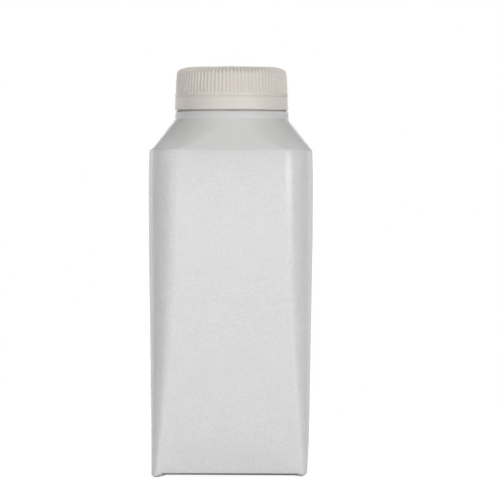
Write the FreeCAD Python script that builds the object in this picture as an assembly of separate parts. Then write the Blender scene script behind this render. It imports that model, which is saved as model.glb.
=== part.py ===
import FreeCAD, Part
import math
import os

# Water carton, in millimetres: a board sleeve with a folded base, a moulded plastic
# top, and a ribbed screw cap on a tamper band.
# The origin is on the ground under the middle of the base, +Z is up, the front faces -Y.

# ---- sleeve: plain board, square at the base and rounder towards the top -------------
BASE_WIDTH = 55.2
BASE_CORNER_RADIUS = 2.0
BELLY_CORNER_RADIUS = 10.6
BELLY_HEIGHT = 102.0
SLEEVE_HEIGHT = 116.4
RIM_PULL_IN = 0.25
CORNER_POWER = 1.8
BOARD_THICKNESS = 0.55
SECTION_COUNT = 13
SECTION_CROWDING = 1.4

# ---- seat of the top in the sleeve --------------------------------------------------
SEAT_DEPTH = 5.0
SEAT_CLEARANCE = 0.05

# ---- folded base: rolled edges that arch up between four small feet -------------------
EDGE_RISE = 1.0
ROLL_RADIUS = 0.9
FOOT_ROOT_INSET = 4.2
FOOT_TIP_INSET = 1.7
FOOT_EDGE_RADIUS = 0.4
RECESS_INSET = 1.7
RECESS_CROWN = 1.6
EAR_THICKNESS = 0.8
EAR_TIP_GAP = 2.0
FIN_WIDTH = 6.0
FIN_THICKNESS = 0.4

# ---- lap seam down the back of the sleeve --------------------------------------------
SEAM_OFFSET = 9.0
SEAM_RAMP = 9.0
SEAM_STEP = 0.3

# ---- moulded top: square skirt, square-to-round shoulder, collar and neck ------------
SHOULDER_HEIGHT = 11.3
COLLAR_RADIUS = 20.5
COLLAR_HEIGHT = 2.6
COLLAR_EDGE_RADIUS = 1.3
NECK_RADIUS = 18.4
NECK_ENGAGEMENT = 1.5
NECK_CLEARANCE = 0.15

# ---- tamper band ----------------------------------------------------------------------
BAND_GAP = 0.45
BAND_HEIGHT = 4.75
BAND_FLARE = 0.12
BAND_EDGE_RADIUS = 0.25
SLIT_HEIGHT = 0.12
BRIDGE_COUNT = 44
BRIDGE_WIDTH = 0.7
BRIDGE_DEPTH = 0.6
BRIDGE_INSET = 0.3
BRIDGE_ROOT = 0.3

# ---- screw cap ------------------------------------------------------------------------
CAP_RADIUS = 20.3
CAP_HEIGHT = 10.98
CAP_LIP_HEIGHT = 0.5
CAP_LIP_SLOPE = 0.8
CAP_LIP_INSET = 0.34
CAP_WALL_DRAFT = 0.39
CAP_WALL_BULGE = 0.11
CAP_EDGE_RADIUS = 2.4
CAP_DOME_RADIUS = 240.0
GATE_RADIUS = 1.2
GATE_DEPTH = 0.15
RIB_COUNT = 88
RIB_DEPTH = 0.3
RIB_GROOVE_SHARE = 0.5
RIB_FLOOR_SHARE = 0.22
RIB_LIP_DEPTH = 0.08

# ---- heights that the pieces share ----------------------------------------------------
BASE_HALF = BASE_WIDTH / 2
COLLAR_BASE_Z = SLEEVE_HEIGHT + SHOULDER_HEIGHT
COLLAR_TOP_Z = COLLAR_BASE_Z + COLLAR_HEIGHT
BAND_BASE_Z = COLLAR_TOP_Z + BAND_GAP
BAND_TOP_Z = BAND_BASE_Z + BAND_HEIGHT
CAP_BASE_Z = BAND_TOP_Z + SLIT_HEIGHT
CAP_TOP_Z = CAP_BASE_Z + CAP_HEIGHT
NECK_TOP_Z = CAP_BASE_Z + NECK_ENGAGEMENT

# ---- how far cutting shapes reach past the surfaces that they cut ----------------------
OVERCUT = 5.0
GROOVE_OVERCUT = 1.0
SAME_HEIGHT = 1e-6
Z_AXIS = FreeCAD.Vector(0, 0, 1)
ORIGIN = FreeCAD.Vector(0, 0, 0)


def vector(x, y, z):
    """Short name for a point."""
    return FreeCAD.Vector(x, y, z)


def corner_radius(z):
    """Corner radius of the sleeve: tight at the base, largest at the belly."""
    down = max(0.0, 1.0 - z / BELLY_HEIGHT)
    return BASE_CORNER_RADIUS + (BELLY_CORNER_RADIUS - BASE_CORNER_RADIUS) * (1.0 - down**CORNER_POWER)


def half_width(z):
    """Half the width of the sleeve.

    The board keeps its girth, so the flats move out as the corners get rounder. Above
    the belly the top draws the board in a little.
    """
    girth_gain = (8.0 - 2.0 * math.pi) / 8.0
    half = BASE_HALF + girth_gain * (corner_radius(z) - BASE_CORNER_RADIUS)
    up = max(0.0, (z - BELLY_HEIGHT) / (SLEEVE_HEIGHT - BELLY_HEIGHT))
    return half - RIM_PULL_IN * up**2


def rounded_square(half, radius, z):
    """Closed wire of four flats and four corner arcs at height z."""
    flat = half - radius
    diagonal = radius * math.sqrt(0.5)
    edges = []
    for turn in range(4):
        angle = turn * math.pi / 2
        cos, sin = math.cos(angle), math.sin(angle)

        def place(x, y):
            return vector(x * cos - y * sin, x * sin + y * cos, z)

        edges.append(Part.LineSegment(place(half, -flat), place(half, flat)).toShape())
        middle = place(flat + diagonal, flat + diagonal)
        edges.append(Part.Arc(place(half, flat), middle, place(flat, half)).toShape())
    return Part.Wire(edges)


def rounded_prism(half, radius, z_low, z_high):
    """Solid with straight sides between two heights."""
    face = Part.Face(rounded_square(half, radius, z_low))
    return face.extrude(vector(0, 0, z_high - z_low))


def block(low, high):
    """Box between two corners."""
    return Part.makeBox(*(high - low), low)


def section_heights():
    """Heights of the sleeve's sections, closer together near the base."""
    steps = SECTION_COUNT - 1
    return [SLEEVE_HEIGHT * (step / steps) ** SECTION_CROWDING for step in range(SECTION_COUNT)]


def edges_at_height(shape, z):
    """Edges that lie wholly at one height."""
    boxes = [(edge, edge.BoundBox) for edge in shape.Edges]
    return [edge for edge, box in boxes if max(abs(box.ZMin - z), abs(box.ZMax - z)) < SAME_HEIGHT]


def stacked_prism(layers):
    """Flat-faced solid through polygons with equal numbers of points, one above another."""
    caps = [layers[0], layers[-1]]
    faces = [Part.Face(Part.makePolygon(points + points[:1])) for points in caps]
    for low, high in zip(layers, layers[1:]):
        for index in range(len(low)):
            after = (index + 1) % len(low)
            side = [low[index], low[after], high[after], high[index], low[index]]
            faces.append(Part.Face(Part.makePolygon(side)))
    return Part.makeSolid(Part.makeShell(faces))


def polygon_column(points, height_at):
    """Upright column under a plane: from below the base up to height_at(x, y)."""
    low = [vector(x, y, -OVERCUT) for x, y in points]
    high = [vector(x, y, height_at(x, y)) for x, y in points]
    return stacked_prism([low, high])


def base_recesses():
    """Columns that hollow the underside: two base panels, and two folded ears with a fin.

    The ears are the triangles at the left and right, one board fold lower than the
    panels at the front and back. The flattened fin lies along the middle of both ears,
    whose tips stop just short of each other.
    """
    reach = BASE_HALF - RECESS_INSET
    slope = RECESS_CROWN / reach
    ear_z = EDGE_RISE + FIN_THICKNESS
    panel_z = ear_z + EAR_THICKNESS
    tip = EAR_TIP_GAP / 2
    middle = [(tip, tip), (-tip, tip), (-tip, -tip), (tip, -tip)]
    columns = [polygon_column(middle, lambda x, y: panel_z + slope * (reach - tip))]
    for side in (-1, 1):
        panel = [(-reach, side * reach), (reach, side * reach), (tip, side * tip), (-tip, side * tip)]
        columns.append(polygon_column(panel, lambda x, y: panel_z + slope * (reach - abs(y))))
        front_ear = [(side * reach, -reach), (side * reach, 0.0), (side * tip, 0.0), (side * tip, -tip)]
        columns.append(polygon_column(front_ear, lambda x, y: ear_z + slope * (reach - abs(x))))
        back_ear = [(side * reach, FIN_WIDTH), (side * reach, reach), (side * FIN_WIDTH, FIN_WIDTH)]
        columns.append(polygon_column(back_ear, lambda x, y: ear_z + slope * (reach - abs(x))))
        fin = [
            (side * reach, 0.0), (side * reach, FIN_WIDTH), (side * FIN_WIDTH, FIN_WIDTH),
            (side * tip, tip), (side * tip, 0.0),
        ]
        columns.append(polygon_column(fin, lambda x, y: EDGE_RISE + slope * (reach - abs(x))))
    return columns


def foot_wedges(slope_z, top_z):
    """Four corner blocks that narrow down to small feet below slope_z."""
    outside = BASE_HALF + BELLY_CORNER_RADIUS
    layers = []
    for z, inset in ((0.0, FOOT_TIP_INSET), (slope_z, FOOT_ROOT_INSET), (top_z, FOOT_ROOT_INSET)):
        near = BASE_HALF - inset
        corners = [(near, near), (outside, near), (outside, outside), (near, outside)]
        layers.append([vector(x, y, z) for x, y in corners])
    wedges = []
    for turn in range(4):
        wedge = stacked_prism(layers)
        wedge.rotate(ORIGIN, Z_AXIS, 90 * turn)
        wedges.append(wedge)
    return Part.makeCompound(wedges)


def seam_ramp():
    """Long thin wedge off the back: beside the lap's edge the board lies lower."""
    wires = []
    for z in section_heights():
        back = half_width(z)
        outside = back + OVERCUT
        ramp_end = SEAM_OFFSET + SEAM_RAMP
        corners = [
            (SEAM_OFFSET, outside),
            (SEAM_OFFSET, back - SEAM_STEP),
            (ramp_end, back),
            (ramp_end, outside),
            (SEAM_OFFSET, outside),
        ]
        wires.append(Part.makePolygon([vector(x, y, z) for x, y in corners]))
    return Part.makeLoft(wires, True, False)


def make_sleeve():
    """Sleeve and its contents as one closed solid, with the seat for the top."""
    wires = [rounded_square(half_width(z), corner_radius(z), z) for z in section_heights()]
    whole = Part.makeLoft(wires, True, False)

    side = BASE_HALF + OVERCUT
    body = whole.cut(block(vector(-side, -side, -OVERCUT), vector(side, side, EDGE_RISE)))
    body = body.makeFillet(ROLL_RADIUS, edges_at_height(body, EDGE_RISE))
    for column in base_recesses():
        body = body.cut(column)

    softened = whole.makeFillet(FOOT_EDGE_RADIUS, edges_at_height(whole, 0.0))
    roll_top = EDGE_RISE + ROLL_RADIUS
    feet = softened.common(foot_wedges(roll_top, roll_top + ROLL_RADIUS))
    sleeve = body.fuse(feet)

    sleeve = sleeve.cut(seam_ramp())
    seat_half = half_width(SLEEVE_HEIGHT) - BOARD_THICKNESS
    seat_radius = corner_radius(SLEEVE_HEIGHT) - BOARD_THICKNESS
    seat = rounded_prism(seat_half, seat_radius, SLEEVE_HEIGHT - SEAT_DEPTH, SLEEVE_HEIGHT + OVERCUT)
    return sleeve.cut(seat)


def square_to_round(half, radius, z_low, round_radius, z_high):
    """Solid from a rounded square up to a circle: four flat triangles and four cones."""
    flat = half - radius
    diagonal = math.sqrt(0.5)
    faces = [Part.Face(rounded_square(half, radius, z_low))]
    arcs = []
    for turn in range(4):
        angle = turn * math.pi / 2
        cos, sin = math.cos(angle), math.sin(angle)

        def place(x, y, z):
            return vector(x * cos - y * sin, x * sin + y * cos, z)

        flat_start, flat_end = place(half, -flat, z_low), place(half, flat, z_low)
        apex, next_apex = place(round_radius, 0, z_high), place(0, round_radius, z_high)
        faces.append(Part.Face(Part.makePolygon([flat_start, flat_end, apex, flat_start])))
        low_middle = place(flat + radius * diagonal, flat + radius * diagonal, z_low)
        low = Part.Arc(flat_end, low_middle, place(flat, half, z_low)).toShape()
        high_middle = place(round_radius * diagonal, round_radius * diagonal, z_high)
        high = Part.Arc(apex, high_middle, next_apex).toShape()
        arcs.append(high)
        faces.append(Part.makeRuledSurface(low, high))
    faces.append(Part.Face(Part.Wire(arcs)))
    return Part.makeSolid(Part.makeShell(faces))


def line(start, end):
    """Straight edge between two (radius, height) points of a turned profile."""
    return Part.LineSegment(vector(start[0], 0, start[1]), vector(end[0], 0, end[1])).toShape()


def arc(start, middle, end):
    """Arc through three (radius, height) points of a turned profile."""
    points = [vector(r, 0, z) for r, z in (start, middle, end)]
    return Part.Arc(*points).toShape()


def turned(edges):
    """Solid turned about the Z axis from a closed profile."""
    return Part.Face(Part.Wire(edges)).revolve(ORIGIN, Z_AXIS, 360)


def quarter_arc(outer_radius, top_z, radius):
    """Quarter round from the top of a turned piece down to its side."""
    diagonal = radius * math.sqrt(0.5)
    centre = (outer_radius - radius, top_z - radius)
    start = (centre[0], top_z)
    middle = (centre[0] + diagonal, centre[1] + diagonal)
    return arc(start, middle, (outer_radius, centre[1]))


def make_top():
    """Skirt, shoulder, collar and neck in one moulding."""
    half = half_width(SLEEVE_HEIGHT) - BOARD_THICKNESS - SEAT_CLEARANCE
    radius = corner_radius(SLEEVE_HEIGHT) - BOARD_THICKNESS - SEAT_CLEARANCE
    skirt = rounded_prism(half, radius, SLEEVE_HEIGHT - SEAT_DEPTH, SLEEVE_HEIGHT)
    shoulder = square_to_round(half, radius, SLEEVE_HEIGHT, COLLAR_RADIUS, COLLAR_BASE_Z)

    edge_z = COLLAR_TOP_Z - COLLAR_EDGE_RADIUS
    edge_r = COLLAR_RADIUS - COLLAR_EDGE_RADIUS
    collar_and_neck = turned([
        line((0, COLLAR_BASE_Z), (COLLAR_RADIUS, COLLAR_BASE_Z)),
        line((COLLAR_RADIUS, COLLAR_BASE_Z), (COLLAR_RADIUS, edge_z)),
        quarter_arc(COLLAR_RADIUS, COLLAR_TOP_Z, COLLAR_EDGE_RADIUS),
        line((edge_r, COLLAR_TOP_Z), (NECK_RADIUS, COLLAR_TOP_Z)),
        line((NECK_RADIUS, COLLAR_TOP_Z), (NECK_RADIUS, NECK_TOP_Z)),
        line((NECK_RADIUS, NECK_TOP_Z), (0, NECK_TOP_Z)),
        line((0, NECK_TOP_Z), (0, COLLAR_BASE_Z)),
    ])
    return skirt.fuse([shoulder, collar_and_neck]).removeSplitter()


def make_tamper_band():
    """Plain ring round the neck, with small bridges up to the cap."""
    inner = NECK_RADIUS + NECK_CLEARANCE
    outer = CAP_RADIUS + BAND_FLARE
    diagonal = BAND_EDGE_RADIUS * (1 - math.sqrt(0.5))
    edge_start = (outer, BAND_BASE_Z + BAND_EDGE_RADIUS)
    edge_end = (outer - BAND_EDGE_RADIUS, BAND_BASE_Z)
    band = turned([
        line((inner, BAND_BASE_Z), (inner, BAND_TOP_Z)),
        line((inner, BAND_TOP_Z), (CAP_RADIUS, BAND_TOP_Z)),
        line((CAP_RADIUS, BAND_TOP_Z), edge_start),
        arc(edge_start, (outer - diagonal, BAND_BASE_Z + diagonal), edge_end),
        line(edge_end, (inner, BAND_BASE_Z)),
    ])
    bridge_outer = CAP_RADIUS - BRIDGE_INSET
    bridges = []
    for index in range(BRIDGE_COUNT):
        near = vector(bridge_outer - BRIDGE_DEPTH, -BRIDGE_WIDTH / 2, BAND_TOP_Z - BRIDGE_ROOT)
        bridge = block(near, vector(bridge_outer, BRIDGE_WIDTH / 2, CAP_BASE_Z))
        bridge.rotate(ORIGIN, Z_AXIS, 360 * (index + 0.5) / BRIDGE_COUNT)
        bridges.append(bridge)
    return band.fuse(bridges).removeSplitter()


def cap_levels():
    """Radius and height of the cap's outside at the lip, the wall's foot, middle and top."""
    lip_z = CAP_BASE_Z + CAP_LIP_HEIGHT
    foot = (CAP_RADIUS - CAP_LIP_INSET, lip_z + CAP_LIP_SLOPE)
    crown_r = foot[0] - CAP_WALL_DRAFT
    arc_r = crown_r - CAP_EDGE_RADIUS
    crown_z = dome_height(arc_r) - CAP_EDGE_RADIUS
    middle = ((foot[0] + crown_r) / 2 + CAP_WALL_BULGE, (foot[1] + crown_z) / 2)
    return (CAP_RADIUS, lip_z), foot, middle, (crown_r, crown_z)


def dome_height(radius):
    """Height of the cap's faintly domed top at a radius."""
    return CAP_TOP_Z - (CAP_DOME_RADIUS - math.sqrt(CAP_DOME_RADIUS**2 - radius**2))


def rib_groove(levels):
    """One groove between two ribs, on the +X side, running out over the rounded edge."""
    lip, foot, middle, crown = levels
    floors = [
        (lip[0] - RIB_LIP_DEPTH, CAP_BASE_Z - GROOVE_OVERCUT),
        (lip[0] - RIB_LIP_DEPTH, lip[1]),
        (foot[0] - RIB_DEPTH, foot[1]),
        (middle[0] - RIB_DEPTH, middle[1]),
        (crown[0] - RIB_DEPTH, crown[1]),
        (crown[0] - RIB_DEPTH, CAP_TOP_Z + GROOVE_OVERCUT),
    ]
    pitch = 2 * math.pi * CAP_RADIUS / RIB_COUNT
    floor_half = RIB_FLOOR_SHARE * pitch / 2
    mouth_half = RIB_GROOVE_SHARE * pitch / 2
    flank = (mouth_half - floor_half) / RIB_DEPTH
    outside = CAP_RADIUS + GROOVE_OVERCUT
    layers = []
    for radius, z in floors:
        wide = floor_half + flank * (outside - radius)
        corners = [(radius, -floor_half), (radius, floor_half), (outside, wide), (outside, -wide)]
        layers.append([vector(x, y, z) for x, y in corners])
    return stacked_prism(layers)


def make_cap():
    """Ribbed cap, closed and solid down to the neck's lip that it sits on."""
    levels = cap_levels()
    lip, foot, middle, crown = levels
    arc_centre = (crown[0] - CAP_EDGE_RADIUS, crown[1])
    diagonal = CAP_EDGE_RADIUS * math.sqrt(0.5)
    edge_middle = (arc_centre[0] + diagonal, arc_centre[1] + diagonal)
    edge_end = (arc_centre[0], dome_height(arc_centre[0]))
    gate_edge = (GATE_RADIUS, dome_height(GATE_RADIUS))
    gate_floor_z = gate_edge[1] - GATE_DEPTH
    dome_middle_r = (arc_centre[0] + GATE_RADIUS) / 2
    cap = turned([
        line((0, CAP_BASE_Z), (CAP_RADIUS, CAP_BASE_Z)),
        line((CAP_RADIUS, CAP_BASE_Z), lip),
        line(lip, foot),
        arc(foot, middle, crown),
        arc(crown, edge_middle, edge_end),
        arc(edge_end, (dome_middle_r, dome_height(dome_middle_r)), gate_edge),
        line(gate_edge, (GATE_RADIUS, gate_floor_z)),
        line((GATE_RADIUS, gate_floor_z), (0, gate_floor_z)),
        line((0, gate_floor_z), (0, CAP_BASE_Z)),
    ])
    socket_base = vector(0, 0, CAP_BASE_Z - OVERCUT)
    socket = Part.makeCylinder(NECK_RADIUS + NECK_CLEARANCE, NECK_ENGAGEMENT + OVERCUT, socket_base)
    grooves = []
    for index in range(RIB_COUNT):
        groove = rib_groove(levels)
        groove.rotate(ORIGIN, Z_AXIS, 360 * index / RIB_COUNT)
        grooves.append(groove)
    return cap.cut([socket] + grooves)


PIECES = {
    "carton_sleeve": make_sleeve,
    "top_moulding": make_top,
    "tamper_band": make_tamper_band,
    "screw_cap": make_cap,
}

os.makedirs("parts", exist_ok=True)
for name, make in PIECES.items():
    piece = make()
    print(name, "solids:", len(piece.Solids), "valid:", piece.isValid(), "volume:", round(piece.Volume, 1))
    piece.Solids[0].exportStep(f"parts/{name}.step")
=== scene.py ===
import logging
import math
from dataclasses import dataclass, field
from enum import Enum
from typing import Callable, Sequence

import bpy
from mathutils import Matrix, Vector


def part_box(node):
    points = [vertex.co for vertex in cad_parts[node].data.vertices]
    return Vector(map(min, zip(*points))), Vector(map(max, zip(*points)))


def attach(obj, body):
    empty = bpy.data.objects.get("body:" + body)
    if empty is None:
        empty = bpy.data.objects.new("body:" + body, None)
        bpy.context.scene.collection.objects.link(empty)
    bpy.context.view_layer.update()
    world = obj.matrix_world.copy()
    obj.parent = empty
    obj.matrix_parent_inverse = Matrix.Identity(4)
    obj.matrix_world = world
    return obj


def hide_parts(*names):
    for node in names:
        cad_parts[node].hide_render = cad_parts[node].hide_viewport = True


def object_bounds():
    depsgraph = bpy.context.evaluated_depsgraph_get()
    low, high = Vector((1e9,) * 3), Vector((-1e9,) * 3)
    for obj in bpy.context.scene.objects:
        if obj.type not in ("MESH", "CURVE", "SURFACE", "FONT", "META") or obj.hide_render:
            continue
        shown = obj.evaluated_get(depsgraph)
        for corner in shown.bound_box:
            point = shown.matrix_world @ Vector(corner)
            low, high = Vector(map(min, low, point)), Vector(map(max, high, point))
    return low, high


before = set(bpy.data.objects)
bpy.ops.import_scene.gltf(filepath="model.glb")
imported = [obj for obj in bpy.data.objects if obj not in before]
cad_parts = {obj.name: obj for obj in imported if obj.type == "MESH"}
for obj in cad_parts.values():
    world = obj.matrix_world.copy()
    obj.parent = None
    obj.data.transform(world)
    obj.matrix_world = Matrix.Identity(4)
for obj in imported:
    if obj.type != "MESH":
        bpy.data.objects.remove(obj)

CAD_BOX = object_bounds()
MM = 0.001
NOISE_LOW, NOISE_HIGH = 0.25, 0.75  # most of a noise lies between these
NIB_MIDDLE = 0.3  # place of the middle point of a small rounded edge, as a share of its size
LOG = logging.getLogger("water_carton")

Point = tuple[float, float, float]
Ring = list[Point]
Flat = tuple[float, float]
Face = tuple[int, ...]
Colour = tuple[float, float, float]
ByPlace = Callable[[float, float], float]
Mesh = bpy.types.Mesh
Piece = bpy.types.Object
Socket = bpy.types.NodeSocket


@dataclass(frozen=True)
class Extent:
    """Lowest and highest corner of one node, in millimetres."""

    low: Vector
    high: Vector

    @classmethod
    def of(cls, node: str) -> "Extent":
        """Measures a node of the frame by its name."""
        low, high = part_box(node)
        return cls(low / MM, high / MM)


class Slot(Enum):
    """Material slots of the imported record."""

    BOARD = "board"
    TOP = "top_plastic"
    CAP = "cap_plastic"


# Numbers


def smooth(edge_low: float, edge_high: float, value: float) -> float:
    """Eases a number from 0 to 1 between two edges."""
    share = min(1.0, max(0.0, (value - edge_low) / (edge_high - edge_low)))
    return share * share * (3 - 2 * share)


def mix(start: float, end: float, share: float) -> float:
    """Straight blend of two numbers."""
    return start + (end - start) * share


def spread(start: float, end: float, count: int) -> list[float]:
    """Evenly spaced numbers, both ends among them."""
    return [mix(start, end, index / (count - 1)) for index in range(count)]


def arc_points(centre: Flat, radius: float, start_deg: float, end_deg: float, count: int) -> list[Flat]:
    """Points along an arc about a centre, from one angle to another."""
    angles = [math.radians(degrees) for degrees in spread(start_deg, end_deg, count)]
    return [(centre[0] + radius * math.cos(a), centre[1] + radius * math.sin(a)) for a in angles]


# Meshes


class Ends(Enum):
    """How a stack of rings is closed."""

    LOOPED = "looped"
    CAPPED = "capped"


@dataclass
class RingStack:
    """A surface through closed rings that have equal numbers of points."""

    rings: list[Ring]  # points in millimetres
    ends: Ends = Ends.LOOPED  # whether the last ring joins the first, or both end rings are filled

    def faces(self) -> list[Face]:
        """Works out the quads between rings and the fans that close the ends.

        Returns:
            Faces as tuples of point numbers.
        """
        around, count = len(self.rings[0]), len(self.rings)
        faces: list[Face] = []
        for row in range(count if self.ends is Ends.LOOPED else count - 1):
            here, there = row * around, (row + 1) % count * around
            for column in range(around):
                after = (column + 1) % around
                faces.append((here + column, here + after, there + after, there + column))
        if self.ends is Ends.CAPPED:
            centre, top = count * around, (count - 1) * around
            faces += [(centre, (column + 1) % around, column) for column in range(around)]
            faces += [(centre + 1, top + column, top + (column + 1) % around) for column in range(around)]
        return faces

    def points(self) -> list[Point]:
        """Lists the points, with the two fan centres last where the ends are filled.

        Returns:
            Points in metres.
        """
        found = [point for ring in self.rings for point in ring]
        if self.ends is Ends.CAPPED:
            for ring in (self.rings[0], self.rings[-1]):
                found.append(tuple(sum(point[axis] for point in ring) / len(ring) for axis in range(3)))
        return [(x * MM, y * MM, z * MM) for x, y, z in found]

    def mesh(self, name: str, sharp_deg: float) -> Mesh:
        """Makes the mesh, smooth but for edges that turn by more than an angle."""
        return shaded_mesh(name, self.points(), self.faces(), sharp_deg)


def four_sides(side: Sequence[Flat]) -> list[Flat]:
    """Turns the points of one side about the middle, once for each side of a square.

    Args:
        side: Points of the first side.

    Returns:
        Points of all four sides.
    """
    points: list[Flat] = []
    for quarter in range(4):
        cos, sin = math.cos(quarter * math.pi / 2), math.sin(quarter * math.pi / 2)
        points += [(x * cos - y * sin, x * sin + y * cos) for x, y in side]
    return points


def turned_rings(profile: Sequence[Flat], steps: int, shift: float) -> list[Ring]:
    """Rings of a turned piece, from the radius and height of each and the distance of its axis."""
    angles = [2 * math.pi * step / steps for step in range(steps)]
    return [[(out * math.cos(a) + shift, out * math.sin(a), z) for a in angles] for out, z in profile]


def prism_faces(count: int, start: int = 0) -> list[Face]:
    """Faces of a prism whose lower points come before its upper ones.

    Args:
        count: Number of corners.
        start: Number of the first point.

    Returns:
        Faces as point numbers.
    """
    low = range(start, start + count)
    faces: list[Face] = [tuple(reversed(low)), tuple(number + count for number in low)]
    for index in range(count):
        here, after = start + index, start + (index + 1) % count
        faces.append((here, after, after + count, here + count))
    return faces


def shaded_mesh(name: str, points: Sequence[Point], faces: Sequence[Face], sharp_deg: float) -> Mesh:
    """Makes a mesh with outward faces, smooth but for its sharp edges.

    Args:
        name: Name of the mesh.
        points: Points in metres.
        faces: Faces as point numbers.
        sharp_deg: Edges that turn by more than this stay sharp.

    Returns:
        The new mesh.
    """
    mesh = bpy.data.meshes.new(name)
    mesh.from_pydata(points, [], faces)
    mesh.validate()
    mesh.shade_smooth()
    mesh.set_sharp_from_angle(angle=math.radians(sharp_deg))
    return mesh


def add_object(name: str, data: bpy.types.ID) -> Piece:
    """Puts a mesh, a lamp or a camera in the scene.

    Args:
        name: Name of the object.
        data: The mesh, lamp or camera.

    Returns:
        The new object.
    """
    item = bpy.data.objects.new(name, data)
    bpy.context.scene.collection.objects.link(item)
    return item


def place_piece(name: str, mesh: Mesh, node: str) -> Piece:
    """Puts a finished mesh in the scene and ties it to the frame.

    Args:
        name: Name of the piece.
        mesh: Its mesh, in the frame's own place.
        node: Node of the frame that it stands for.

    Returns:
        The new piece.
    """
    piece = add_object(name, mesh)
    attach(piece, "root")
    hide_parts(node)
    LOG.info("%s: %d points, %d faces", name, len(mesh.vertices), len(mesh.polygons))
    return piece


# Finishes


class Sheet:
    """The nodes of one material, with short names for what a finish needs."""

    def __init__(self, name: str) -> None:
        """Starts from a bare material with one surface shader.

        Args:
            name: Name of the material.
        """
        self.material = bpy.data.materials.new(name)
        self.material.use_nodes = True
        self.nodes = self.material.node_tree.nodes
        self.links = self.material.node_tree.links
        self.surface = self.nodes["Principled BSDF"]
        self.place = self.nodes.new("ShaderNodeTexCoord").outputs["Object"]

    def noise(self, size_mm: float, detail: float, roughness: float = 0.5) -> Socket:
        """Adds a noise whose grains are about one size.

        Args:
            size_mm: Size of a grain in millimetres.
            detail: Octaves of finer grains.
            roughness: How strong the finer grains are.

        Returns:
            Its grey value.
        """
        node = self.nodes.new("ShaderNodeTexNoise")
        node.inputs["Scale"].default_value = 1 / (size_mm * MM)
        node.inputs["Detail"].default_value = detail
        node.inputs["Roughness"].default_value = roughness
        self.links.new(self.place, node.inputs["Vector"])
        return node.outputs["Fac"]

    def level(self, value: Socket, low: float, high: float) -> Socket:
        """Maps a noise, most of which lies about one half, to a range.

        Args:
            value: Grey value of the noise.
            low: Result at the low side.
            high: Result at the high side.

        Returns:
            The mapped value.
        """
        node = self.nodes.new("ShaderNodeMapRange")
        node.inputs["From Min"].default_value = NOISE_LOW
        node.inputs["From Max"].default_value = NOISE_HIGH
        node.inputs["To Min"].default_value = low
        node.inputs["To Max"].default_value = high
        self.links.new(value, node.inputs["Value"])
        return node.outputs["Result"]

    def add(self, first: Socket, second: Socket) -> Socket:
        """Adds two values.

        Args:
            first: One value.
            second: The other.

        Returns:
            Their sum.
        """
        node = self.nodes.new("ShaderNodeMath")
        node.operation = "ADD"
        self.links.new(first, node.inputs[0])
        self.links.new(second, node.inputs[1])
        return node.outputs["Value"]

    def paint(self, colour: Colour, vary: float, share: Socket) -> None:
        """Colours the surface, from darker to lighter than a middle colour.

        Args:
            colour: Middle colour.
            vary: How much darker and lighter it gets, as a share.
            share: Value from 0 where it is dark to 1 where it is light.
        """
        node = self.nodes.new("ShaderNodeMix")
        node.data_type = "RGBA"
        dark, light = (socket for socket in node.inputs if socket.type == "RGBA")
        dark.default_value = (*(channel * (1 - vary) for channel in colour), 1)
        light.default_value = (*(channel * (1 + vary) for channel in colour), 1)
        self.links.new(share, node.inputs["Factor"])
        self.drive("Base Color", next(socket for socket in node.outputs if socket.type == "RGBA"))

    def bump(self, height: Socket, depth_mm: float) -> None:
        """Gives the surface a relief.

        Args:
            height: Height from 0 to 1.
            depth_mm: Depth that a height of 1 stands for, in millimetres.
        """
        node = self.nodes.new("ShaderNodeBump")
        node.inputs["Distance"].default_value = depth_mm * MM
        self.links.new(height, node.inputs["Height"])
        self.drive("Normal", node.outputs["Normal"])

    def drive(self, socket: str, value: Socket) -> None:
        """Links a value to the surface shader."""
        self.links.new(value, self.surface.inputs[socket])

    def set(self, socket: str, value: float) -> None:
        """Sets a value on the surface shader."""
        self.surface.inputs[socket].default_value = value


@dataclass(frozen=True)
class BoardFinish:
    """White board under a thin clear coating, faintly mottled by the fibres below."""

    name: str = "coated_board"
    colour: Colour = (0.82, 0.82, 0.82)
    mottle: float = 0.08  # how much it darkens and lightens the colour
    mottle_mm: float = 0.75  # size of its grains
    cloud_mm: float = 6.0  # size of the clouds over which colour and gloss drift
    fine_mm: float = 0.7  # size of the fibres in the relief
    wave_mm: float = 4.0  # size of the waves in the relief
    gloss: Flat = (0.30, 0.42)  # lowest and highest roughness under the coating
    relief_mm: float = 0.02  # depth of the relief
    coat: float = 0.75  # share of the clear coating
    coat_gloss: float = 0.22  # roughness of the clear coating
    sheen_level: float = 0.3  # strength of the reflection below the coating

    def material(self) -> bpy.types.Material:
        """Builds the material.

        Returns:
            The finished material.
        """
        sheet = Sheet(self.name)
        sheet.set("Coat Weight", self.coat)
        sheet.set("Coat Roughness", self.coat_gloss)
        sheet.set("Specular IOR Level", self.sheen_level)
        mottle = sheet.noise(self.mottle_mm, detail=2.0, roughness=0.6)
        cloud = sheet.noise(self.cloud_mm, detail=2.0)
        share = sheet.add(sheet.level(mottle, 0.1, 0.9), sheet.level(cloud, -0.1, 0.1))
        sheet.paint(self.colour, self.mottle, share)
        sheet.drive("Roughness", sheet.level(cloud, *self.gloss))
        fibres = sheet.level(sheet.noise(self.fine_mm, detail=1.0), 0.0, 0.4)
        waves = sheet.level(sheet.noise(self.wave_mm, detail=1.0), 0.0, 0.5)
        sheet.bump(sheet.add(fibres, waves), self.relief_mm)
        return sheet.material


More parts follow.
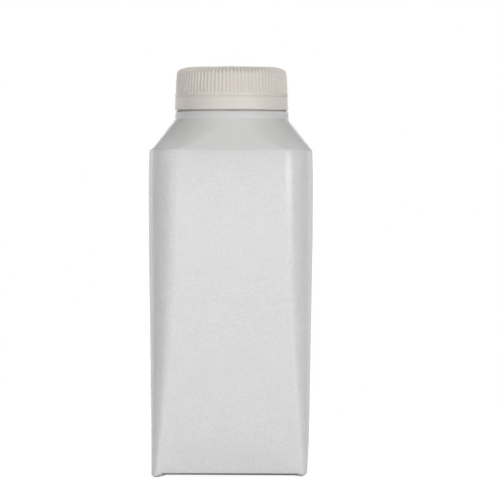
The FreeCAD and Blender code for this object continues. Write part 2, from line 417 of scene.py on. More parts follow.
@dataclass(frozen=True)
class CutEdgeFinish:
    """Raw fibres where the board is cut; a darker copy serves as painted shade under the rolled base edge.
    """

    name: str = "board_cut_edge"
    colour: Colour = (0.74, 0.72, 0.68)
    speckle: float = 0.08  # how much single fibres differ from it
    fibre_mm: float = 0.25  # size of the fibres
    gloss: Flat = (0.75, 0.95)  # lowest and highest roughness
    relief_mm: float = 0.03  # depth of the fibres

    def material(self) -> bpy.types.Material:
        """Builds the material.

        Returns:
            The finished material.
        """
        sheet = Sheet(self.name)
        fibres = sheet.noise(self.fibre_mm, detail=3.0, roughness=0.7)
        share = sheet.level(fibres, 0.0, 1.0)
        sheet.paint(self.colour, self.speckle, share)
        sheet.drive("Roughness", sheet.level(fibres, *self.gloss))
        sheet.bump(share, self.relief_mm)
        return sheet.material


@dataclass(frozen=True)
class PlasticFinish:
    """Moulded polyethylene with a fine satin grain from the tool."""

    name: str
    colour: Colour
    drift: float = 0.012  # how much the colour drifts over the surface
    drift_mm: float = 9.0  # distance over which it drifts
    wear_mm: float = 2.5  # size of the duller and shinier spots
    gloss: Flat = (0.29, 0.37)  # lowest and highest roughness
    grain_mm: float = 0.12  # size of the tool's grain
    relief_mm: float = 0.004  # depth of the relief
    sheen_level: float = 1.0  # strength of the reflection seen head on
    bending: float = 1.2  # index of refraction, low so that the rims stay calm

    def material(self) -> bpy.types.Material:
        """Builds the material.

        Returns:
            The finished material.
        """
        sheet = Sheet(self.name)
        sheet.set("Specular IOR Level", self.sheen_level)
        sheet.set("IOR", self.bending)
        sheet.paint(self.colour, self.drift, sheet.level(sheet.noise(self.drift_mm, detail=2.0), 0.0, 1.0))
        grain = sheet.noise(self.grain_mm, detail=1.0)
        wear = sheet.noise(self.wear_mm, detail=2.0)
        sheet.drive("Roughness", sheet.level(wear, *self.gloss))
        sheet.bump(sheet.add(sheet.level(grain, 0.0, 0.5), sheet.level(wear, 0.0, 1.0)), self.relief_mm)
        return sheet.material


BOARD_FINISH = BoardFinish()
CUT_EDGE_FINISH = CutEdgeFinish()
# A darker copy of the cut-edge finish, laid under the rolled base edge as painted shade.
BASE_EDGE_PAINTED_SHADE = CutEdgeFinish("base_edge_painted_shade", (0.41, 0.40, 0.39))
TOP_FINISH = PlasticFinish("white_polyethylene", (0.765, 0.765, 0.757))
CAP_FINISH = PlasticFinish("ivory_polyethylene", (0.85, 0.795, 0.743))
# Darker copies of the ivory plastic, laid on the floors of the grooves as painted shade, darkest in the
# grooves over the rounded upper edge.
PAINTED_SHADE_IN_GROOVES = PlasticFinish("ivory_painted_shade_in_grooves", (0.765, 0.711, 0.66))
PAINTED_SHADE_IN_RIM_GROOVES = PlasticFinish("ivory_painted_shade_in_rim_grooves", (0.66, 0.61, 0.563))


# The carton


@dataclass(frozen=True)
class SquarePlan:
    """Plans of rounded squares whose points keep their places along the board.

    The stations are shares of the way from the middle of a side to the middle of its corner,
    from -1 upwards. 1 is left out, as it is the first point of the next side. The points start
    at the front left corner and run against the clock seen from above.
    """

    stations: tuple[float, ...]  # places of the points along a side
    crease: float = 1.0  # how much sharper than an arc a corner turns beside the flats: 1 for an arc

    def outline(self, half: float, radius: float) -> list[Flat]:
        """Works out one outline.

        Args:
            half: Half the width over the flats.
            radius: Corner radius.

        Returns:
            Points in the plane.
        """
        flat = half - radius
        reach = flat + radius * math.pi / 4
        side: list[Flat] = []
        for station in self.stations:
            along = abs(station) * reach
            turn = max(0.0, along - flat) / radius
            out = min(along, flat) + radius * math.sin(turn) ** self.crease
            side.append((math.copysign(out, station), -flat - radius * math.cos(turn) ** self.crease))
        return four_sides(side)


@dataclass
class BoardSleeve:
    """The board sleeve: near square at the base and rounder towards its rim."""

    extent: Extent
    base_half: float = 27.6  # half the width at the base
    base_radius: float = 2.0  # corner radius at the base
    belly_radius: float = 10.59  # largest corner radius
    belly_z: float = 102.0  # its height
    corner_power: float = 1.8  # how late the corners tighten on the way down
    crease: float = 1.18  # how much sharper than an arc they turn beside the flats
    rim_pull_in: float = 0.25  # how far the top draws the rim in
    rim_dip: float = 0.35  # how much lower the rim lies in the middle of a flat
    rim_dip_pace: float = 1.15  # how soon the dip ends towards a corner
    rim_dip_height: float = 6.0  # height over which the wall follows it
    rim_round: float = 0.08  # rounding of the rim's two edges
    board: float = 0.55  # thickness of the board
    edge_rise: float = 0.84  # height of the base edges between the feet
    edge_lean: float = 0.085  # how much lower they lie at the right than in the middle
    roll: float = 0.95  # size of the rolled base edges
    # Distance in and height round the rolled edge, as shares of its size
    roll_section: tuple[Flat, ...] = (
        (0.03, 0.86), (0.1, 0.75), (0.22, 0.66), (0.7, 0.42), (1.2, 0.17), (1.5, 0.05), (1.8, 0.0),
    )
    painted_shade_rows: int = 5  # rows of it, from the ledge outwards, coloured dark as painted shade
    roll_lean: float = 0.14  # how much wider it is at the right than in the middle, as a share
    foot_roll: float = 0.5  # its size at the feet, as a share of that between them
    foot_outer: float = 27.0  # distance from the middle at which a foot is full
    foot_inner: float = 24.0  # and at which it starts
    worn_inner: float = 25.0  # the same for the worn front right foot
    worn_lift: float = 0.45  # how far that one stays above the floor
    foot_drag: float = 6.0  # height over which the wall follows the feet down
    base_shift: float = 0.38  # how far the base stands to the left of the belly
    base_shift_height: float = 22.0  # height over which that dies away
    waist: float = 0.2  # how far the flats hollow in below the belly
    tuck: float = 1.2  # how far the fold draws the middle of a flat in at the base
    tuck_height: float = 15.0  # height over which that dies away
    ledge: float = 0.6  # width of the flat under the rolled edge
    base_gap: float = 0.25  # how far the inner face stands back from the ledge
    seam_x: float = 9.0  # place of the lap's edge on the back
    seam_edge: float = 0.2  # width of the slope there
    seam_ramp: float = 9.0  # width over which the lap dies away
    seam_step: float = 0.3  # thickness of the edge
    wall_count: int = 45  # rings of the outer face
    wall_spacing: float = 0.85  # how much closer together they lie towards the base: 1 for not
    plan: SquarePlan = field(init=False)

    def __post_init__(self) -> None:
        """Lays out the stations, closer together towards the feet and the corners."""
        reach = self.base_half - self.base_radius * (1 - math.pi / 4)
        half = spread(0.0, 16.0, 9) + spread(17.0, 21.5, 10) + spread(22.0, reach, 15) + [self.seam_x]
        stations = {side * place / reach for side in (-1, 1) for place in half}
        stations.add((self.seam_edge - self.seam_x) / reach)
        stations.discard(1.0)
        self.plan = SquarePlan(tuple(sorted(stations)), self.crease)

    @property
    def rim_z(self) -> float:
        """Height of the rim at the corners."""
        return self.extent.high.z

    @property
    def ledge_inset(self) -> float:
        """Distance from the outer face in to the inner edge of the ledge."""
        return self.roll_section[-1][0] * self.roll + self.ledge

    def corner_radius(self, z: float) -> float:
        """Corner radius at a height."""
        down = max(0.0, 1 - z / self.belly_z)
        return mix(self.belly_radius, self.base_radius, down**self.corner_power)

    def half_width(self, z: float) -> float:
        """Half the width at a height, from a girth that stays the same.

        Args:
            z: Height.

        Returns:
            Half the width over the flats.
        """
        gain = (8 - 2 * math.pi) / 8 * (self.corner_radius(z) - self.base_radius)
        up = max(0.0, (z - self.belly_z) / (self.rim_z - self.belly_z))
        hollow = self.waist * math.sin(math.pi * min(1.0, z / self.belly_z)) ** 2
        return self.base_half + gain - self.rim_pull_in * up**2 - hollow

    def tuck_at(self, x: float, y: float, z: float) -> float:
        """How far a flat is drawn in near the base, at a place on the base outline and a height."""
        along = min(abs(x), abs(y)) / self.base_half
        return self.tuck * max(0.0, 1 - z / self.tuck_height) ** 2 * max(0.0, 1 - along**2) ** 1.5

    def shift(self, z: float) -> float:
        """How far the outline stands to the left at a height."""
        return self.base_shift * max(0.0, 1 - z / self.base_shift_height) ** 2

    def edge_height(self, x: float, y: float) -> float:
        """Height of the base edge: it arches up between the four feet.

        Args:
            x: Place along X.
            y: Place along Y.

        Returns:
            Height of the edge there.
        """
        inward = min(abs(x), abs(y))
        worn = x > 0 > y
        inner = self.worn_inner if worn else self.foot_inner
        share = min(1.0, max(0.0, (inward - inner) / (self.foot_outer - inner)))
        between = self.edge_rise - self.edge_lean * x / self.base_half
        return mix(between, self.worn_lift if worn else 0.0, share)

    def rim_drop(self, x: float, y: float) -> float:
        """How far the rim lies below its corners, along a flat."""
        along = min(1.0, self.rim_dip_pace * min(abs(x), abs(y)) / self.base_half)
        return self.rim_dip * max(0.0, math.cos(along * math.pi / 2))

    def lap_offset(self, x: float, y: float) -> float:
        """How far the back face lies in at a place beside the lap's edge."""
        past = (x - self.seam_x) / self.seam_ramp
        return self.seam_step * (1 - past) if y >= self.base_half / 2 and 0 <= past <= 1 else 0.0

    def ring(self, z_at: ByPlace, inset_at: ByPlace) -> Ring:
        """One ring round the wall.

        Args:
            z_at: Height of a point, from its place on the base outline.
            inset_at: Distance in from the outer face, from the same place.

        Returns:
            The ring's points.
        """
        base = self.plan.outline(self.base_half, self.base_radius)
        points: Ring = []
        for index, (base_x, base_y) in enumerate(base):
            z = z_at(base_x, base_y)
            inset = inset_at(base_x, base_y)
            half = self.half_width(z) - inset
            radius = max(0.05, self.corner_radius(z) - inset)
            x, y = self.plan.outline(half, radius)[index]
            tuck = self.tuck_at(base_x, base_y, z)
            if abs(x) > abs(y):
                x -= math.copysign(tuck, x)
            else:
                y -= math.copysign(tuck, y)
            points.append((x - self.shift(z), y - self.lap_offset(x, y), z))
        return points

    def wall_rings(self) -> list[Ring]:
        """Rings down the outer face.

        Returns:
            The rings, from the rim to the rolled edge.
        """
        rim, lowest = self.rim_z, self.edge_rise + self.roll
        top = rim - 1.5 * self.rim_round
        rings = []
        for share in spread(0, 1, self.wall_count):
            z = mix(top, lowest, share**self.wall_spacing)
            dip = smooth(rim - self.rim_dip_height, rim, z)
            drag = 1 - smooth(lowest, lowest + self.foot_drag, z)

            def height(x: float, y: float) -> float:
                """Height of this ring at a place on the base outline."""
                foot = self.edge_height(x, y) + self.roll_at(x, y) - lowest
                return z - self.rim_drop(x, y) * dip + foot * drag

            rings.append(self.ring(height, lambda x, y: 0.0))
        return rings

    def roll_at(self, x: float, y: float) -> float:
        """Size of the rolled edge: tighter at the feet and at the left."""
        wide = self.roll * (1 + self.roll_lean * x / self.base_half)
        return wide * mix(self.foot_roll, 1, self.edge_height(x, y) / self.edge_rise)

    def roll_rings(self) -> list[Ring]:
        """Rings round the rolled edge, which turns in sharply.

        Returns:
            The rings, from the wall to the inner edge of the ledge.
        """
        rings = [
            self.ring(
                lambda x, y: self.edge_height(x, y) + self.roll_at(x, y) * rise,
                lambda x, y: self.roll_at(x, y) * inset,
            )
            for inset, rise in self.roll_section
        ]
        return rings + [self.ring(self.edge_height, lambda x, y: self.ledge_inset)]

    def inner_rings(self) -> list[Ring]:
        """Rings up the inner face, which stands clear of the folded base, and over the cut rim.

        Returns:
            The rings, from the ledge up.
        """
        clear, board, edge = self.ledge_inset + self.base_gap, self.board, self.rim_round
        above_base = ((2.9, clear), (5.0, clear), (9.0, board), (60.0, board))
        below_rim = ((5.0, board), (0.1, board), (0.0, board - edge), (0.0, edge))
        rings = [self.ring(lambda x, y: z, lambda x, y: inset) for z, inset in above_base]
        return rings + [
            self.ring(lambda x, y: self.rim_z - below - self.rim_drop(x, y), lambda x, y: inset)
            for below, inset in below_rim
        ]

    def build(self) -> None:
        """Builds and dresses the wall of the sleeve."""
        inner = self.inner_rings()
        rings = (self.wall_rings() + self.roll_rings() + inner)[::-1]
        mesh = RingStack(rings).mesh("sleeve_wall", sharp_deg=40)
        for finish in (BOARD_FINISH, CUT_EDGE_FINISH, BASE_EDGE_PAINTED_SHADE):
            mesh.materials.append(finish.material())
        # Rows under the rolled edge, between the feet, take that darker copy as painted shade.
        worn = range(len(inner), len(inner) + self.painted_shade_rows)
        for face in mesh.polygons:
            row = face.index // len(rings[0])
            inward = min(abs(face.center.x), abs(face.center.y)) / MM
            on_seam = face.center.y > 0 and 0 < self.seam_x - face.center.x / MM < self.seam_edge
            if row == 0 or (on_seam and row > len(inner)):
                face.material_index = 1
            elif row in worn and inward < self.foot_inner:
                face.material_index = 2
        place_piece("sleeve_wall", mesh, "carton_sleeve")


@dataclass
class FoldedBase:
    """The base inside the rolled edge: a crowned panel, two folded ears and a flat fin."""

    sleeve: BoardSleeve
    crown: float = 1.6  # how much higher the middle lies
    board: float = 0.5  # thickness of the board
    ear: float = 0.8  # thickness of an ear, two boards pressed together
    overlap: float = 0.2  # how far the panels and ears reach over the ledge
    tip_gap: float = 2.0  # gap between the tips of the ears
    fin_width: float = 6.0  # width of the sealed fin
    fin_gap: float = 0.1  # gap between its ends and the ledge
    fin: float = 0.4  # its thickness
    softness: float = 0.16  # radius of the plates' edges

    @property
    def reach(self) -> float:
        """Distance from the middle to the ledge."""
        return self.sleeve.base_half - self.sleeve.ledge_inset

    def lift(self, x: float, y: float) -> float:
        """How much the crowned base rises above its rim at a place."""
        return self.crown * (1 - max(abs(x), abs(y)) / self.reach)

    def plate(self, name: str, outline: Sequence[Flat], under: float, thickness: float) -> None:
        """One flat plate that follows the crown, with softened edges.

        Args:
            name: Name of the piece.
            outline: Corners of the plate, against the clock seen from above.
            under: Height of its lower face at the rim of the base.
            thickness: Its thickness.
        """
        low = [(x - self.sleeve.base_shift, y, under + self.lift(x, y)) for x, y in outline]
        high = [(x, y, z + thickness) for x, y, z in low]
        points = [(x * MM, y * MM, z * MM) for x, y, z in low + high]
        mesh = shaded_mesh(name, points, prism_faces(len(outline)), sharp_deg=30)
        mesh.materials.append(BOARD_FINISH.material())
        piece = place_piece(name, mesh, "carton_sleeve")
        soften = piece.modifiers.new("softened_edges", "BEVEL")
        soften.width = self.softness * MM
        soften.segments = 3
        soften.limit_method = "ANGLE"

    def build(self) -> None:
        """Builds the panels, the ears and the fin."""
        tip, width = self.tip_gap / 2, self.fin_width
        far, end = self.reach + self.overlap, self.reach - self.fin_gap
        fin_z = self.sleeve.edge_rise
        ear_z = fin_z + self.fin
        for side, word in ((-1, "front"), (1, "back")):
            corners = [(-far * side, far * side), (0.0, 0.0), (far * side, far * side)]
            self.plate(f"base_panel_{word}", corners, ear_z + self.ear, self.board)
        fins = {
            -1: [(-end, 0.0), (-tip, 0.0), (-tip, tip), (-width, width), (-end, width)],
            1: [(tip, 0.0), (end, 0.0), (end, width), (width, width), (tip, tip)],
        }
        for side, word in ((-1, "left"), (1, "right")):
            near, edge = side * tip, side * far
            corners = [(near, -near), (edge, -edge), (edge, edge), (near, near)]
            self.plate(f"base_ear_{word}", corners, ear_z, self.ear)
            self.plate(f"base_fin_{word}", fins[side], fin_z, self.fin)


@dataclass
class MouldedTop:
    """The moulded top: a square skirt, a square-to-round shoulder, a collar and a neck."""

    extent: Extent
    sleeve: BoardSleeve
    shoulder_z: float = 127.7  # height of the shoulder's top
    skirt_top: float = 1.5  # how far below the rim the skirt's straight part ends
    collar_radius: float = 20.5
    collar_height: float = 3.0
    collar_run: float = 1.5  # distance in over which its upper edge is bevelled
    collar_drop: float = 0.85  # height over which it is bevelled
    collar_bevel: float = 1.6  # how straight that bevel is: 1 for a rounded edge, 2 for a flat bevel
    neck_radius: float = 18.4
    neck_foot: float = 0.25  # rounding at its foot
    neck_edge: float = 0.2  # bevel at its upper edge
    skirt_round: float = 0.7  # radius between skirt and shoulder
    hollow: float = 1.2  # radius between shoulder and collar
    clearance: float = 0.05  # gap between the skirt and the board
    shift: float = 0.28  # how far it sits to the right of the sleeve's middle

    def section(self) -> list[Point]:
        """Section from the skirt to the neck.

        Returns:
            Distance out, height and share of roundness of each ring.
        """
        inset = self.sleeve.board + self.clearance
        half = self.sleeve.half_width(self.sleeve.rim_z) - inset
        rim = self.sleeve.rim_z
        run, rise = half - self.collar_radius, self.shoulder_z - rim
        length = math.hypot(run, rise)
        lean = math.degrees(math.atan2(run, rise))
        found: list[Point] = [(half, self.extent.low.z, 0.0), (half, rim - self.skirt_top, 0.0)]
        start = self.skirt_round * math.tan(math.radians(lean / 2))
        centre = (half - self.skirt_round, rim - start)
        found += [(out, z, 0.0) for out, z in arc_points(centre, self.skirt_round, 0, lean, 6)]
        cut = self.hollow * math.tan(math.radians(lean / 2))
        slope = spread(start / length, 1 - cut / length, 14)[1:]
        found += [(half - run * share, rim + rise * share, share) for share in slope]
        centre = (self.collar_radius + self.hollow, self.shoulder_z + cut)
        hollow = arc_points(centre, self.hollow, 180 + lean, 180, 7)[1:]
        return found + [(out, z, 1.0) for out, z in hollow]

    def square_rings(self) -> list[Ring]:
        """Rings of the skirt and the shoulder.

        Returns:
            The rings, from the bottom up.
        """
        sleeve = self.sleeve
        corner = sleeve.corner_radius(sleeve.rim_z) - sleeve.board - self.clearance
        rings = []
        for half, z, share in self.section():
            radius = mix(corner, half, share) if share < 1 else half
            rings.append(self.ring(half, radius, z, mix(sleeve.crease, 1, share)))
        return rings

    def ring(self, half: float, radius: float, z: float, crease: float = 1.0) -> Ring:
        """One ring with evenly shared points on flats and corners.

        Args:
            half: Half the width.
            radius: Corner radius.
            z: Height.
            crease: How much sharper than an arc the corners turn beside the flats.

        Returns:
            The ring's points.
        """
        flat = half - radius
        side: list[Flat] = [(mix(-flat, flat, step / 12), -half) for step in range(12)]
        for turn in spread(0, math.pi / 2, 25)[:-1]:
            out, back = math.sin(turn) ** crease, math.cos(turn) ** crease
            side.append((flat + radius * out, -flat - radius * back))
        return [(x + self.shift, y, z) for x, y in four_sides(side)]

    def build(self) -> None:
        """Builds and dresses the top."""
        top, end = self.shoulder_z + self.collar_height, self.extent.high.z
        neck, foot, edge = self.neck_radius, self.neck_foot, self.neck_edge
        profile: list[Flat] = []
        for run, rise in arc_points((0.0, 0.0), 1.0, 0, 90, 11):
            out = self.collar_radius - self.collar_run * (1 - max(0.0, run) ** self.collar_bevel)
            profile.append((out, top - self.collar_drop * (1 - rise**self.collar_bevel)))
        profile += [(neck + foot, top), *arc_points((neck + foot, top + foot), foot, 270, 180, 4)[1:]]
        profile += [(neck, end - edge), (neck - edge, end)]
        rings = self.square_rings() + [self.ring(radius, radius, z) for radius, z in profile]
        mesh = RingStack(rings, Ends.CAPPED).mesh("shoulder_and_neck", sharp_deg=50)
        mesh.materials.append(TOP_FINISH.material())
        place_piece("shoulder_and_neck", mesh, "top_moulding")


@dataclass
class TamperBand:
    """The plain ring under the cap, with small bridges across the slit."""

    extent: Extent
    inner_radius: float = 18.55
    outer_radius: float = 20.52  # radius at the lower edge
    flare: float = 0.22  # how much wider the lower edge is
    slit: float = 0.05  # height of the slit
    edge_round: float = 0.4  # rounding of the lower edge
    nib: float = 0.1  # bevel of the upper edge
    bridges: int = 44
    bridge_width: float = 0.7
    bridge_inset: float = 0.3  # how far they lie in from the outer face
    bridge_depth: float = 0.6
    bridge_root: float = 0.05  # how far a bridge reaches down into the band
    shift: float = 0.2  # how far it sits to the right of the sleeve's middle

    def build(self) -> None:
        """Builds and dresses the band."""
        low, top = self.extent.low.z, self.extent.high.z - self.slit
        outer, nib, edge = self.outer_radius, self.nib, self.edge_round
        upper = outer - self.flare
        profile: list[Flat] = [(self.inner_radius, top), (self.inner_radius, low)]
        profile += arc_points((outer - edge, low + edge), edge, 270, 360, 7)
        for share in spread(0, 1, 5)[1:]:
            profile.append((mix(outer, upper, share), mix(low + edge, top - nib, share)))
        profile += [(upper - NIB_MIDDLE * nib, top - NIB_MIDDLE * nib), (upper - nib, top)]
        ring = RingStack(turned_rings(profile, 256, self.shift))
        points, faces = ring.points(), ring.faces()
        for index in range(self.bridges):
            self.add_bridge(points, faces, 2 * math.pi * (index + 0.5) / self.bridges, top)
        mesh = shaded_mesh("tamper_ring", points, faces, sharp_deg=35)
        mesh.materials.append(CAP_FINISH.material())
        place_piece("tamper_ring", mesh, "tamper_band")

    def add_bridge(self, points: list[Point], faces: list[Face], angle: float, top: float) -> None:
        """Adds one bridge to the band's mesh.

        Args:
            points: Points so far, in metres.
            faces: Faces so far.
            angle: Place of the bridge round the band.
            top: Height of the band's upper face.
        """
        outer = self.outer_radius - self.flare - self.bridge_inset
        inner, half = outer - self.bridge_depth, self.bridge_width / 2
        cos, sin = math.cos(angle), math.sin(angle)
        faces += prism_faces(4, len(points))
        for z in (top - self.bridge_root, self.extent.high.z):
            for x, y in ((inner, -half), (outer, -half), (outer, half), (inner, half)):
                points.append(((x * cos - y * sin + self.shift) * MM, (x * sin + y * cos) * MM, z * MM))


@dataclass
class ScrewCap:
    """The ribbed cap, domed a little on top, with a plain lip at the bottom."""

    extent: Extent
    radius: float = 20.3  # radius over the lip
    lip_height: float = 0.5  # height of the straight part of the lip
    lip_slope: float = 0.8  # height of the slope above it
    lip_inset: float = 0.34  # how far the ribbed wall stands back from the lip
    nib: float = 0.1  # bevel of the small edges
    draft: float = 0.39  # how much the wall narrows up to the rounded edge
    bulge: float = 0.11  # how much the wall swells in the middle
    edge_run: float = 5.5  # distance in over which the upper edge is rounded
    edge_drop: float = 2.4  # height over which it is rounded
    dome: float = 260.0  # radius of the domed top
    gate_radius: float = 1.2  # radius of the small moulding mark on top
    gate_depth: float = 0.15  # its depth
    ribs: int = 88
    groove_floor: float = 0.2  # half the width of a groove's floor, as a share of the pitch
    groove_mouth: float = 0.34  # half the width of its mouth
    rib_depth: float = 0.3  # depth of the grooves between the ribs
    lip_depth: float = 0.06  # depth of the grooves in the lip
    fade_start: float = 2.0  # height over the wall at which the grooves start to fade
    fade_end: float = 2.38  # height over the wall at which they end
    socket_radius: float = 18.55  # radius of the socket for the neck
    socket_depth: float = 1.5  # its depth
    steps_per_rib: int = 10  # points across one rib and its groove
    shift: float = 0.2  # how far it sits to the right of the sleeve's middle

    @property
    def wall_foot(self) -> Flat:
        """Radius and height at the foot of the ribbed wall."""
        return (self.radius - self.lip_inset, self.extent.low.z + self.lip_height + self.lip_slope)

    @property
    def wall_head(self) -> Flat:
        """Radius and height where the wall runs into the rounded edge."""
        radius = self.wall_foot[0] - self.draft
        return (radius, self.dome_z(radius - self.edge_run) - self.edge_drop)

    def dome_z(self, radius: float) -> float:
        """Height of the domed top at a radius."""
        crest = self.extent.high.z + self.dome - math.sqrt(self.dome**2 - self.gate_radius**2)
        return crest - (self.dome - math.sqrt(self.dome**2 - radius**2))

    def envelope(self) -> list[Flat]:
        """Outer line of the cap over its ribs, from the lip to the moulding mark.

        Returns:
            Radius and height of each ring.
        """
        low, lip, nib = self.extent.low.z, self.radius, self.nib
        foot, head = self.wall_foot, self.wall_head
        line = [(lip - nib, low), (lip - NIB_MIDDLE * nib, low + NIB_MIDDLE * nib), (lip, low + nib)]
        line.append((lip, low + self.lip_height))
        for share in spread(0, 1, 6)[1:]:
            line.append((mix(lip, foot[0], smooth(0, 1, share)), mix(low + self.lip_height, foot[1], share)))
        for share in spread(0, 1, 11)[1:]:
            swell = self.bulge * 4 * share * (1 - share)
            line.append((mix(foot[0], head[0], share) + swell, mix(foot[1], head[1], share)))
        for out, up in arc_points((0.0, 0.0), 1.0, 0, 88, 28)[1:]:
            line.append((head[0] - self.edge_run * (1 - out), head[1] + self.edge_drop * up))
        dome = spread(line[-1][0], self.gate_radius + nib, 10)[1:]
        return line + [(radius, self.dome_z(radius)) for radius in dome]

    def groove_share(self, share: float) -> float:
        """Depth of a groove at a share of one rib's pitch: 0 on the rib, 1 on the groove's floor."""
        return 1 - smooth(self.groove_floor, self.groove_mouth, abs(share - 0.5))

    def groove_depth(self, z: float) -> float:
        """Depth of the grooves at a height: shallow in the lip, and fading over the rounded edge.

        Args:
            z: Height.

        Returns:
            Depth in from the ribs.
        """
        lip, head = self.extent.low.z + self.lip_height, self.wall_head[1]
        depth = mix(self.lip_depth, self.rib_depth, smooth(lip, lip + self.lip_slope, z))
        return depth * (1 - smooth(head + self.fade_start, head + self.fade_end, z))

    def ribbed_ring(self, radius: float, z: float) -> Ring:
        """One ring with its grooves, which are cut at right angles to the surface.

        Args:
            radius: Radius over the ribs.
            z: Height.

        Returns:
            The ring's points.
        """
        over = max(0.0, min(1.0, (z - self.wall_head[1]) / self.edge_drop))
        depth = self.groove_depth(z)
        steps = self.ribs * self.steps_per_rib
        points: Ring = []
        for step in range(steps):
            angle = 2 * math.pi * step / steps
            cut = depth * self.groove_share((step % self.steps_per_rib) / self.steps_per_rib)
            out = radius - cut * math.sqrt(1 - over**2)
            points.append((out * math.cos(angle) + self.shift, out * math.sin(angle), z - cut * over))
        return points

    def build(self) -> None:
        """Builds and dresses the cap."""
        low, high, nib, bore = self.extent.low.z, self.extent.high.z, self.nib, self.socket_radius
        steps = self.ribs * self.steps_per_rib
        top = low + self.socket_depth
        socket = [(bore - nib, top), (bore, top - nib), (bore, low + nib), (bore + nib, low)]
        mark = [(self.gate_radius, high - nib / 2), (self.gate_radius - nib, high - self.gate_depth)]
        rings = turned_rings(socket, steps, self.shift)
        rings += [self.ribbed_ring(radius, z) for radius, z in self.envelope()]
        rings += turned_rings(mark, steps, self.shift)
        mesh = RingStack(rings, Ends.CAPPED).mesh("ribbed_cap", sharp_deg=32)
        for finish in (CAP_FINISH, PAINTED_SHADE_IN_GROOVES, PAINTED_SHADE_IN_RIM_GROOVES):
            mesh.materials.append(finish.material())
        foot, head = self.wall_foot[1], self.wall_head[1]
        # Faces on the groove floors take the darker copies, as painted shade.
        for face in mesh.polygons:
            z = face.center.z / MM
            share = (face.index % self.steps_per_rib + 0.5) / self.steps_per_rib
            if foot < z < head + self.fade_start and self.groove_share(share) == 1:
                face.material_index = 2 if z > head else 1
        place_piece("ribbed_cap", mesh, "screw_cap")


# The studio


@dataclass(frozen=True)
class Softbox:
    """A rectangular lamp that faces the carton, with angles in degrees and sizes in metres."""

    name: str
    azimuth: float  # to the right of the front
    elevation: float  # above the level
    width: float
    height: float
    power: float  # in watts

    def build(self, target: Vector, distance: float) -> None:
        """Hangs the lamp.

        Args:
            target: Point that it faces, in metres.
            distance: Distance from that point, in metres.
        """
        lamp = bpy.data.lights.new(self.name, "AREA")
        lamp.shape = "RECTANGLE"
        lamp.size = self.width
        lamp.size_y = self.height
        lamp.energy = self.power
        holder = add_object(self.name, lamp)
        around, up = math.radians(self.azimuth), math.radians(self.elevation)
        away = Vector((math.sin(around) * math.cos(up), -math.cos(around) * math.cos(up), math.sin(up)))
        holder.location = target + away * distance
        holder.rotation_euler = (-away).to_track_quat("-Z", "Y").to_euler()
        holder.visible_camera = False


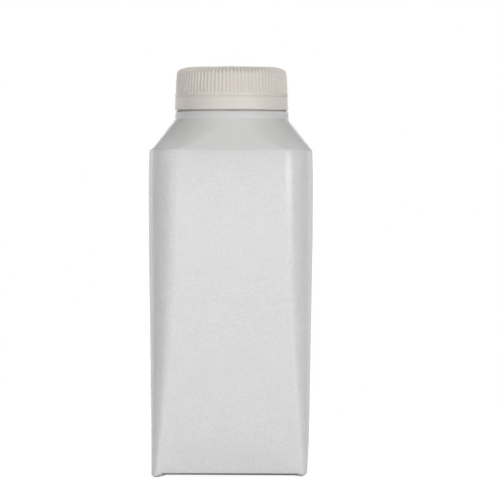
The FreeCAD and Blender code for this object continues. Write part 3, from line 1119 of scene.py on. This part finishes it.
@dataclass
class Studio:
    """Floor, surroundings, lamps and camera, with sizes in metres."""

    softboxes: tuple[Softbox, ...] = (
        Softbox("front_left_low", -35, -0.5, 0.75, 0.12, 0.9),
        Softbox("front_middle_low", -5, -0.5, 0.75, 0.12, 1.6),
        Softbox("front_right_low", 30, 4, 0.85, 0.16, 3.1),
        Softbox("front_left", -35, 18, 0.75, 0.7, 1.95),
        Softbox("front_middle", -5, 18, 0.75, 0.7, 1.15),
        Softbox("front_right", 30, 18, 0.85, 0.7, 3.8),
        Softbox("front_high", 0, 42, 0.9, 0.6, 0.85),
        Softbox("right_high", 60, 60, 0.9, 0.6, 2.3),
        Softbox("left_high", -60, 60, 0.9, 0.6, 2.0),
        Softbox("overhead", 0, 80, 1.0, 1.0, 1.8),
        Softbox("side_left", -121, 3, 0.6, 0.9, 3.1),
        Softbox("side_right", 121, 3, 0.6, 0.9, 2.4),
        Softbox("rear_left", -150, 3, 0.9, 0.9, 3.4),
        Softbox("rear_right", 150, 3, 0.9, 0.9, 2.2),
        Softbox("rear_middle", 180, 3, 1.1, 0.9, 8.8),
        Softbox("rear_high", 180, 42, 0.9, 0.6, 2.8),
    )
    lamp_distance: float = 1.5
    floor_size: float = 2.8
    floor_colour: Colour = (0.8, 0.8, 0.8)
    floor_glow: float = 0.85  # share of plain white in what the camera sees of the floor
    floor_white: float = 1.12  # brightness of that white
    surroundings: float = 0.037  # brightness of the surroundings to all but the camera
    camera_distance: float = 3.5
    view_width: float = 0.178891  # width of the view at the carton
    view_centre: Flat = (0.0069, 0.08113)  # middle of the view in the carton's plane
    camera_roll: float = 0.12  # degrees that the camera is turned against the clock

    def build_world(self) -> None:
        """Makes the surroundings: white to the camera, and dim to everything else."""
        world = bpy.data.worlds.new("surroundings")
        bpy.context.scene.world = world
        world.use_nodes = True
        nodes, links = world.node_tree.nodes, world.node_tree.links
        background = nodes["Background"]
        background.inputs["Color"].default_value = (1, 1, 1, 1)
        level = nodes.new("ShaderNodeMath")
        level.operation = "MAXIMUM"
        level.inputs[1].default_value = self.surroundings
        links.new(nodes.new("ShaderNodeLightPath").outputs["Is Camera Ray"], level.inputs[0])
        links.new(level.outputs["Value"], background.inputs["Strength"])

    def build_floor(self) -> None:
        """Lays the pale floor, which keeps the carton's shadow."""
        side = self.floor_size / 2
        corners = [(-side, -side, 0), (side, -side, 0), (side, side, 0), (-side, side, 0)]
        mesh = bpy.data.meshes.new("floor")
        mesh.from_pydata(corners, [], [(0, 1, 2, 3)])
        floor = add_object("floor", mesh)
        sheet = Sheet("pale_floor")
        nodes, links = sheet.nodes, sheet.links
        sheet.surface.inputs["Base Color"].default_value = (*self.floor_colour, 1)
        sheet.set("Roughness", 0.9)
        glow = nodes.new("ShaderNodeEmission")
        glow.inputs["Strength"].default_value = self.floor_white
        share = nodes.new("ShaderNodeMath")
        share.operation = "MULTIPLY"
        share.inputs[1].default_value = self.floor_glow
        links.new(nodes.new("ShaderNodeLightPath").outputs["Is Camera Ray"], share.inputs[0])
        blend = nodes.new("ShaderNodeMixShader")
        links.new(share.outputs["Value"], blend.inputs["Fac"])
        links.new(sheet.surface.outputs["BSDF"], blend.inputs[1])
        links.new(glow.outputs["Emission"], blend.inputs[2])
        links.new(blend.outputs["Shader"], nodes["Material Output"].inputs["Surface"])
        mesh.materials.append(sheet.material)

    def build_camera(self) -> None:
        """Sets the camera level with the middle of the carton, with a long lens."""
        camera = bpy.data.cameras.new("camera")
        camera.sensor_width = 36.0
        camera.lens = camera.sensor_width * self.camera_distance / self.view_width
        camera.clip_end = 20.0
        holder = add_object("camera", camera)
        holder.location = (self.view_centre[0], -self.camera_distance, self.view_centre[1])
        holder.rotation_euler = (math.pi / 2, math.radians(-self.camera_roll), 0)
        bpy.context.scene.camera = holder

    def build(self, target: Vector) -> None:
        """Builds the whole studio.

        Args:
            target: Point that the lamps face, in metres.
        """
        self.build_world()
        self.build_floor()
        self.build_camera()
        for softbox in self.softboxes:
            softbox.build(target, self.lamp_distance)
        bpy.context.scene.view_settings.view_transform = "Standard"


def main() -> None:
    """Builds the carton from the base up, then the studio."""
    logging.basicConfig(level=logging.INFO, format="%(name)s: %(message)s")
    sleeve = BoardSleeve(Extent.of("carton_sleeve"))
    sleeve.build()
    FoldedBase(sleeve).build()
    MouldedTop(Extent.of("top_moulding"), sleeve).build()
    TamperBand(Extent.of("tamper_band")).build()
    ScrewCap(Extent.of("screw_cap")).build()
    Studio().build((CAD_BOX[0] + CAD_BOX[1]) / 2)


if __name__ == "__main__":
    main()
